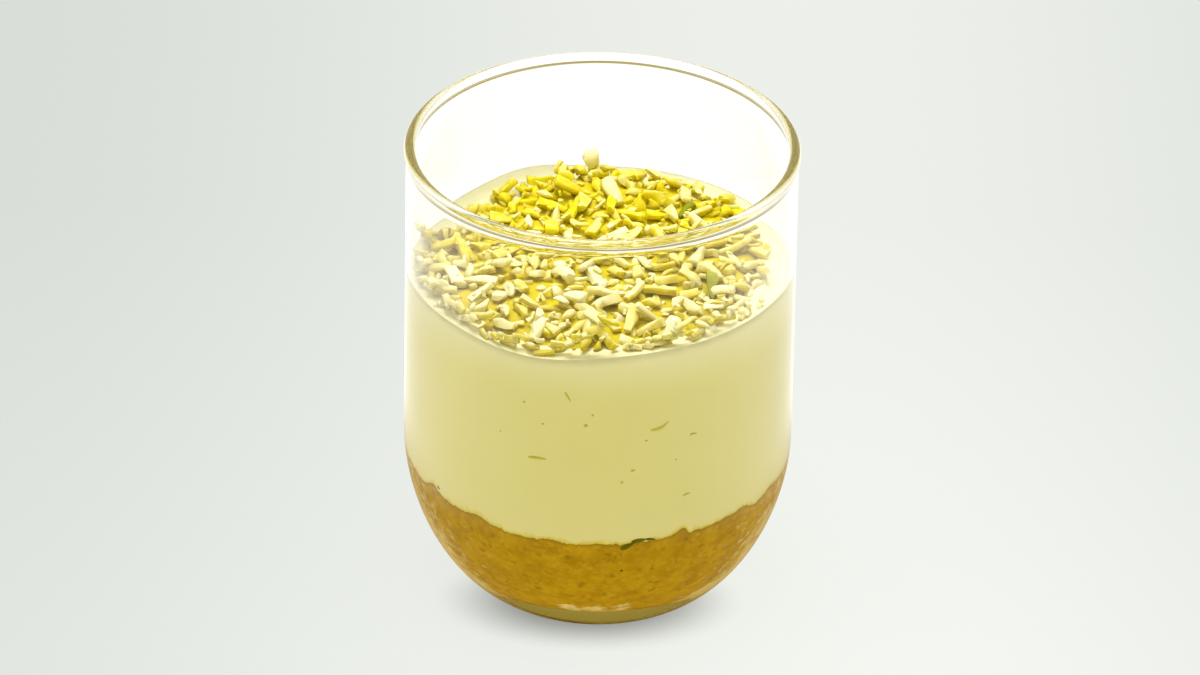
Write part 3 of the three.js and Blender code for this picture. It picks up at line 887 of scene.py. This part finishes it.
def drop_piece(pile, draw, kind, spot):
    """One piece falls on its spot of a sunflower pattern and leans on what lies under its ends."""
    piece = {"length": kind["shortest"] + kind["spread"] * draw() ** 1.6}
    piece["width"] = kind["width"] * (1 + 0.6 * draw())
    piece["thick"] = kind["thick"] * (1 + 0.7 * draw())
    piece["yaw"] = yaw = draw() * math.tau
    angle = (spot * GOLDEN_ANGLE + 9 * draw() + 180) % 360 - 180
    lying = abs(math.cos(yaw - math.radians(angle - 90))) * piece["length"]
    limit = min(heap_reach(angle), GLASS_CLEARANCE - 0.5 * lying - 0.35 * piece["width"])
    radius = limit * math.sqrt((spot + 0.5) / kind["number"])
    x, y = radius * math.sin(math.radians(angle)), -radius * math.cos(math.radians(angle))
    arm = 0.38 * piece["length"]
    ahead = pile_height(pile, x + arm * math.cos(yaw), y + arm * math.sin(yaw))
    behind = pile_height(pile, x - arm * math.cos(yaw), y - arm * math.sin(yaw))
    piece["lean"] = math.atan2(ahead - behind, 2 * arm) * 0.8 + (draw() - 0.5) * 0.7
    piece["roll"] = (draw() - 0.5) * 1.4
    under = pile_height(pile, x, y) * 0.6 + max(ahead, behind) * 0.4
    piece.update(x=x, y=y, z=max((ahead + behind) / 2, under) + piece["thick"] * 0.2)
    piece["taper"] = 0.45 + 0.5 * draw()
    piece["shear"] = (draw() - 0.5) * 0.6
    raise_pile(pile, piece)
    return piece


def drop_pieces(pile, draw, kind):
    return [drop_piece(pile, draw, kind, spot) for spot in mixed_order(kind["number"], draw)]


# %% [markdown]
# One chunk stands upright on the heap's back, where it shows above all the others. Its place is given.

# %% Let the nuts fall
UPRIGHT_PIECE = {"x": -2.1, "y": 29.2, "length": 4.6, "width": 4.0, "thick": 3.5, "yaw": 0.6, "lean": 1.15,
                 "roll": 0.3, "taper": 0.95, "shear": 0.2}
UPRIGHT_RISE = 2.7
draw = seeded_draws(HEAP_SEED)
lower_pieces = drop_pieces(pile, draw, LOWER_PIECES)
core_pile = [row[:] for row in pile]
upper_pieces = drop_pieces(pile, draw, UPPER_PIECES)
upright_piece = dict(UPRIGHT_PIECE, tone=0.15,
                     z=pile_mean(pile, UPRIGHT_PIECE["x"], UPRIGHT_PIECE["y"]) + UPRIGHT_RISE)
print("the pile's highest cell is", round(max(max(row) for row in pile), 2), "mm up")

# %% [markdown]
# ### Small pieces
# The large pieces end about a millimetre before the glass. At the front and the left smaller ones have rolled
# right up to it. Others have fallen into the gaps of the pile, down to crumbs of under a millimetre.

# %% Roll pieces up to the glass and into the gaps
EDGE_FROM, EDGE_TO, EDGE_STEP = -112, 62, 2.2
EDGE_RADIUS = 35.2


def edge_piece(pile, draw, angle):
    """A small piece that lies along the glass, more or less."""
    turn = math.radians(angle)
    piece = {"length": 1.7 + 2.9 * draw(), "width": 0.9 + 1.0 * draw(), "thick": 0.7 + 0.7 * draw()}
    askew = (draw() - 0.5) * 1.7
    lying = 0.5 * piece["length"] * abs(math.sin(askew)) + 0.5 * piece["width"] * abs(math.cos(askew))
    radius = EDGE_RADIUS - lying - 1.2 * draw() ** 2
    x, y = radius * math.sin(turn), -radius * math.cos(turn)
    piece.update(x=x, y=y, yaw=turn + askew, lean=(draw() - 0.5) * 0.9, roll=(draw() - 0.5) * 1.2,
                 taper=0.5 + 0.5 * draw(), shear=(draw() - 0.5) * 0.6)
    piece["z"] = pile_height(pile, x, y) + 0.4 * piece["thick"]
    raise_pile(pile, piece)
    return piece


edge_angles = [EDGE_FROM + EDGE_STEP * step for step in range(int((EDGE_TO - EDGE_FROM) / EDGE_STEP))]
edge_pieces = [edge_piece(pile, draw, angle + 2 * draw()) for angle in edge_angles]


def fall_into_gaps(pile, draw, kind):
    """Drop small pieces and keep those that came to rest lower than the pile round them."""
    before = [row[:] for row in pile]
    return [piece for piece in drop_pieces(pile, draw, kind)
            if piece["z"] < pile_mean(before, piece["x"], piece["y"]) + 0.35 * piece["length"] * draw()]


small_pieces = fall_into_gaps(pile, draw, SMALL_PIECES)
crumbled_pieces = fall_into_gaps(pile, draw, CRUMBLED_PIECES)
print(len(edge_pieces), "pieces at the glass,", len(small_pieces), "small,", len(crumbled_pieces), "crumbled")

# %% [markdown]
# ### Fragments
# A knife splits a nut along flat faces and leaves two kinds of piece. Slivers start as a block, get bowed and
# uneven along their length, have their ends and two long edges cut askew and what is left softened.
# Chunks start as a rounded lump, for the outside of the nut, and are cut by a few planes. A score of them,
# turned and stretched in the heap, are enough that none seems to repeat, and each has only a few dozen faces,
# because they are used hundreds of times.

# %% Cut the fragments
TYPICAL_PIECE = Vector((4.4, 2.3, 1.6))
EDGE_SOFTNESS = 0.3
SHARP_EDGE = math.radians(62)
SLIVER_KINDS = 12
CHUNK_KINDS = 12
CRUMB_KINDS = 6
shaper = random.Random(11)


def everything(bm):
    return bm.verts[:] + bm.edges[:] + bm.faces[:]


def slice_off(bm, direction, share):
    """Take off what lies beyond a flat cut, at a share of the way out, and close the cut."""
    normal = Vector(part / size for part, size in zip(direction, TYPICAL_PIECE)).normalized()
    farthest = max(vert.co.dot(normal) for vert in bm.verts)
    cut = bmesh.ops.bisect_plane(bm, geom=everything(bm), plane_co=normal * farthest * share, plane_no=normal,
                                 clear_outer=True)
    rim = [part for part in cut["geom_cut"] if isinstance(part, bmesh.types.BMEdge)]
    bmesh.ops.holes_fill(bm, edges=rim, sides=0)


def random_direction():
    return Vector((shaper.uniform(-1, 1), shaper.uniform(-1, 1), shaper.uniform(-1, 1)))


def cut_sliver():
    """A bowed, uneven block with its ends and two of its long edges cut askew."""
    bm = bmesh.new()
    bmesh.ops.create_cube(bm, size=1)
    bmesh.ops.scale(bm, vec=TYPICAL_PIECE, verts=bm.verts)
    bow, twist = shaper.uniform(-0.45, 0.45), shaper.uniform(-0.3, 0.3)
    for place in (-0.75, 0.85):
        bmesh.ops.bisect_plane(bm, geom=everything(bm), plane_co=(place, 0, 0), plane_no=(1, 0, 0))
        swell = shaper.uniform(0.86, 1.12)
        for vert in bm.verts:
            if abs(vert.co.x - place) < 1e-4:
                vert.co = Vector((place + shaper.uniform(-0.2, 0.2), vert.co.y * swell + twist * vert.co.z,
                                  vert.co.z * shaper.uniform(0.8, 1.05) + bow))
    for end in (1, -1):
        askew = Vector((end, shaper.uniform(-1.3, 1.3), shaper.uniform(-1, 1)))
        slice_off(bm, askew, shaper.uniform(0.6, 0.8))
    for side in (1, -1):
        edge = Vector((shaper.uniform(-0.4, 0.4), side, shaper.choice((-1, 1))))
        slice_off(bm, edge, shaper.uniform(0.55, 0.8))
    bmesh.ops.bevel(bm, geom=bm.edges[:], offset=EDGE_SOFTNESS, offset_type="OFFSET", segments=1,
                    profile=0.5, affect="EDGES", clamp_overlap=True, material=-1)
    return bm


def cut_chunk():
    """A rounded lump cut by a few planes."""
    bm = bmesh.new()
    bmesh.ops.create_icosphere(bm, subdivisions=2, radius=0.56)
    bmesh.ops.scale(bm, vec=TYPICAL_PIECE, verts=bm.verts)
    for vert in bm.verts:
        vert.co *= shaper.uniform(0.93, 1.07)
    for _ in range(shaper.choice((4, 5, 5))):
        slice_off(bm, random_direction(), shaper.uniform(0.42, 0.72))
    return bm


def cut_crumb():
    """A tiny block with two corners gone."""
    bm = bmesh.new()
    bmesh.ops.create_cube(bm, size=1)
    bmesh.ops.scale(bm, vec=TYPICAL_PIECE, verts=bm.verts)
    for _ in range(2):
        slice_off(bm, random_direction(), shaper.uniform(0.4, 0.65))
    return bm


def fragment_meshes(cut, number):
    """Cut a number of fragments and keep each as a mesh, with its sharp edges marked."""
    meshes = []
    for index in range(number):
        bm = cut()
        bmesh.ops.remove_doubles(bm, verts=bm.verts, dist=0.03)
        bmesh.ops.recalc_face_normals(bm, faces=bm.faces)
        for edge in bm.edges:
            edge.smooth = edge.calc_face_angle(0) < SHARP_EDGE
        mesh = bpy.data.meshes.new(f"{cut.__name__}_{index}")
        bm.to_mesh(mesh)
        bm.free()
        meshes.append(mesh)
    print(cut.__name__, "faces:", [len(mesh.polygons) for mesh in meshes])
    return meshes


slivers = fragment_meshes(cut_sliver, SLIVER_KINDS)
chunks = fragment_meshes(cut_chunk, CHUNK_KINDS)
nut_crumbs = fragment_meshes(cut_crumb, CRUMB_KINDS)

# %% [markdown]
# ### Laying the fragments
# Each dropped piece takes one fragment, stretched to its own size and narrowed towards one end, and turned
# the way it fell. Two numbers are written on its corners for the colours: a tone, low for the white inside of
# a nut and high for its yellow outside, with painted light that pales the front, and how deep the corner
# lies under the top of the pile, which sets the painted shade of the hollows.

# %% Lay the pieces into one mesh
# How far under the top of the pile the painted shade of the hollows is deepest
DEEPEST = 2.6
SLIM = 0.86
loose_piece = bpy.data.meshes.new("loose_piece")


def depth_under_pile(place):
    """0 at the top of the pile and 1 a few millimetres under it."""
    around = [pile_height(pile, place.x + dx, place.y + dy) for dx in (-1, 0, 1) for dy in (-1, 0, 1)]
    return min(max((sum(around) / 9 - place.z) / DEEPEST, 0), 1)


def tone_with_painted_light(piece, chance):
    """A random tone from pale inside to yellow outside, with painted light: paler at the front, yellower
    behind.
    """
    behind = smooth_step(-10, 14, piece["y"])
    return piece.get("tone", lerp(-0.1, 0.32, behind) + 0.85 * chance ** lerp(1.3, 0.8, behind))


def lay_fragment(heap, fragment, piece, tone, flip):
    """Add one fragment to the heap, stretched and turned as its piece fell."""
    bm = bmesh.new()
    bm.from_mesh(fragment)
    for vert in bm.verts:
        share = Vector(part / size for part, size in zip(vert.co, TYPICAL_PIECE))
        narrow = lerp(1, piece["taper"], smooth_step(-0.3, 0.5, share.x))
        shift = piece["shear"] * 0.5 * smooth_step(-0.3, 0.5, share.x)
        across = (share.y * narrow + shift) * flip * SLIM * piece["width"]
        up = share.z * (0.5 + 0.5 * narrow) * piece["thick"]
        vert.co = Vector((share.x * piece["length"], across, up))
    turned = (
        Matrix.Translation((piece["x"], piece["y"], piece["z"]))
        @ Matrix.Rotation(piece["yaw"], 4, "Z")
        @ Matrix.Rotation(-piece["lean"], 4, "Y")
        @ Matrix.Rotation(piece["roll"], 4, "X")
    )
    bmesh.ops.transform(bm, matrix=turned, verts=bm.verts)
    tones = bm.verts.layers.float.new("tone")
    painted_shade_depths = bm.verts.layers.float.new("depth")
    for vert in bm.verts:
        vert[tones] = tone
        vert[painted_shade_depths] = depth_under_pile(vert.co)
    bm.to_mesh(loose_piece)
    bm.free()
    heap.from_mesh(loose_piece)


def lay_heap(pieces, seed):
    """Lay long pieces as slivers, short ones as chunks and the smallest as crumbs."""
    heap = bmesh.new()
    heap.verts.layers.float.new("tone")
    heap.verts.layers.float.new("depth")
    hand = random.Random(seed)
    for piece in pieces:
        if piece["length"] < CRUMBLED_PIECES["shortest"] + CRUMBLED_PIECES["spread"]:
            kinds = nut_crumbs
        else:
            kinds = slivers if piece["length"] > hand.uniform(1.3, 2.3) * piece["width"] else chunks
        lay_fragment(heap, hand.choice(kinds), piece, tone_with_painted_light(piece, hand.random()), hand.choice((-1, 1)))
    bmesh.ops.recalc_face_normals(heap, faces=heap.faces)
    return heap


# %% [markdown]
# ### Nut colours
# Peeled pistachio-like nuts are nearly white where they are cut and lit, and turn to a deep yellow in the
# hollows between them, because light there has bounced from nut to nut and each bounce takes out more blue.
# Part of that comes from the light itself. The tone of a piece is its own colour, with painted light that
# pales the front of the heap. The rest is painted shade, a deeper yellow deep in the pile and on faces that
# point sideways or down. Light goes nearly a millimetre into a nut, which softens its shadows. A few pieces
# keep their green skin. The faces are dry, so they have hardly any gloss.


# %% Make the nut materials
def cut_nut(name, pale, yellow, deep):
    material, tree, output = new_material(name)
    place = add_node(tree, "ShaderNodeTexCoord").outputs["Object"]
    facing = add_node(tree, "ShaderNodeNewGeometry").outputs["Normal"]
    # Painted shade: faces that point sideways or down, and corners deep in the pile, turn a deeper yellow
    sideways = ramp(tree, coordinate(tree, facing, "Z"), 0.8, -0.2, -0.05, 0.45)
    mottle = patches(tree, place, 0.7 / MM, 4.0)
    uneven = ramp(tree, mottle, 0.3, 0.7, -0.22, 0.22)
    tone_and_painted_shade = calculate(tree, "ADD", calculate(tree, "ADD", written_on(tree, "tone"), sideways), uneven)
    shallow = blend(tree, tone_and_painted_shade, pale, yellow)
    colour = blend(tree, written_on(tree, "depth"), shallow, deep)
    give_surface(tree, output, Base_Color=colour, Roughness=0.6, IOR=1.47, Specular_IOR_Level=0.15,
                 Subsurface_Weight=0.6, Subsurface_Radius=(1.0, 0.85, 0.2), Subsurface_Scale=0.9 * MM,
                 Normal=bump(tree, mottle, 0.12 * MM, 0.5))
    return material


pale_nut = cut_nut("peeled nuts, chopped", "#f5efc4", "#ddcd16", "#cdbb00")
skinned_nut = cut_nut("nuts with green skin, chopped", "#b9b94a", "#868a14", "#666a04")

# %% Lay the nuts
GREEN_SPOTS = ((7.8, 21.3), (14.0, -31.0), (-20.0, 8.0), (21.0, -12.0), (16.0, 12.0))
GREEN_REACH = 1.9


def is_green(piece):
    return any(math.hypot(piece["x"] - x, piece["y"] - y) < GREEN_REACH for x, y in GREEN_SPOTS)


large_pieces = lower_pieces + upper_pieces + [upright_piece]
peeled_pieces = [piece for piece in large_pieces if not is_green(piece)]
green_pieces = [piece for piece in large_pieces if is_green(piece)]
finish_piece(lay_heap(peeled_pieces, 5), "nut_pieces", pale_nut, "chopped_nuts")
finish_piece(lay_heap(green_pieces, 6), "green_nut_pieces", skinned_nut)
finish_piece(lay_heap(edge_pieces + small_pieces, 7), "small_nut_pieces", pale_nut)
finish_piece(lay_heap(crumbled_pieces, 8), "nut_crumbs", pale_nut)

# %% [markdown]
# ### The heap's core
# Under the pieces that show lie many more that nobody sees. They are one low mound in the painted deep
# yellow shade of the hollows, made like the layers: a disc with its vertices set on the heights of the
# lower pile.

# %% Fill the heap's core
CORE_SIDES = 96
CORE_SHARES = tuple(step / 24 for step in range(25))


def heap_core():
    under = [(share, 0) for share in CORE_SHARES]
    over = [(share, 1) for share in reversed(CORE_SHARES[:-1])]
    bm = spin_outline(under + over, CORE_SIDES)
    tones = bm.verts.layers.float.new("tone")
    painted_shade_depths = bm.verts.layers.float.new("depth")
    for vert in bm.verts:
        share, rise = math.hypot(vert.co.x, vert.co.y), vert.co.z
        turn = math.atan2(vert.co.y, vert.co.x)
        reach = heap_reach(front_angle(math.cos(turn), math.sin(turn))) - 1.2
        x, y = share * reach * math.cos(turn), share * reach * math.sin(turn)
        rim = smooth_step(0.88, 1.0, share)
        top = lerp(pile_mean(core_pile, x, y) - 0.5, cream_top(x, y) - 0.1, rim)
        vert.co = (x, y, top if rise > 0.5 else cream_top(x, y) - 0.4)
        # The core is painted with the deep shade of the hollows
        vert[tones] = 1.0
        vert[painted_shade_depths] = 0.85
    bmesh.ops.recalc_face_normals(bm, faces=bm.faces)
    return bm


finish_piece(heap_core(), "nut_core", pale_nut)
